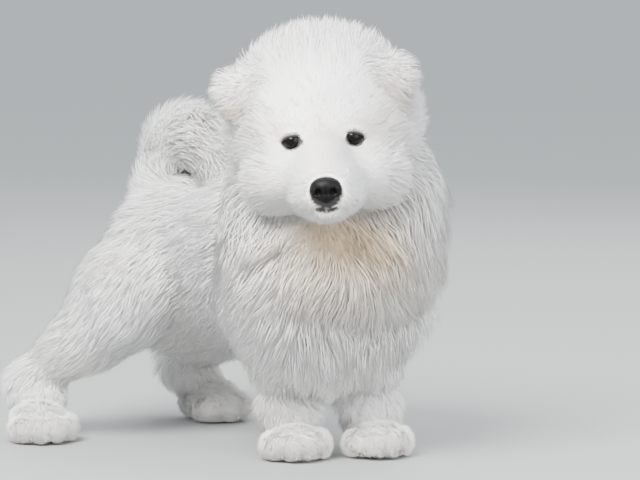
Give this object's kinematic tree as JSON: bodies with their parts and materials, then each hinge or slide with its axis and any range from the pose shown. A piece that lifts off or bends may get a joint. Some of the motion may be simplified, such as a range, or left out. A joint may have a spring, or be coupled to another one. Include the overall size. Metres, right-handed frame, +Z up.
{
  "type": "standing samoyed puppy",
  "caption": "Life-size still model of a young samoyed dog standing with its head turned to the viewer, tail curled over its back and a fluffy white coat in locks.",
  "frame": {"origin": "middle of the model's own box in plan, at the floor the paws rest on", "axes": "+Z up, -Y the way the body faces, -X the puppy's right side, +X its left side"},
  "size_m": [0.244, 0.3294, 0.3061],
  "materials": {
    "coat": "soft white fur",
    "eye": "wet dark brown eye",
    "nose": "moist black skin with fine grain"
  },
  "bodies": {
    "root": {"torso": "coat", "neck": "coat", "head": "coat", "tail": "coat", "ear_right": "coat", "ear_left": "coat", "eye_right": "eye", "eye_left": "eye", "nose": "nose", "upper_arm_right": "coat", "upper_arm_left": "coat", "forearm_right": "coat", "forearm_left": "coat", "forepaw_right": "coat", "forepaw_left": "coat", "thigh_right": "coat", "thigh_left": "coat", "shank_right": "coat", "shank_left": "coat", "hind_paw_right": "coat", "hind_paw_left": "coat"}
  },
  "joints": []
}
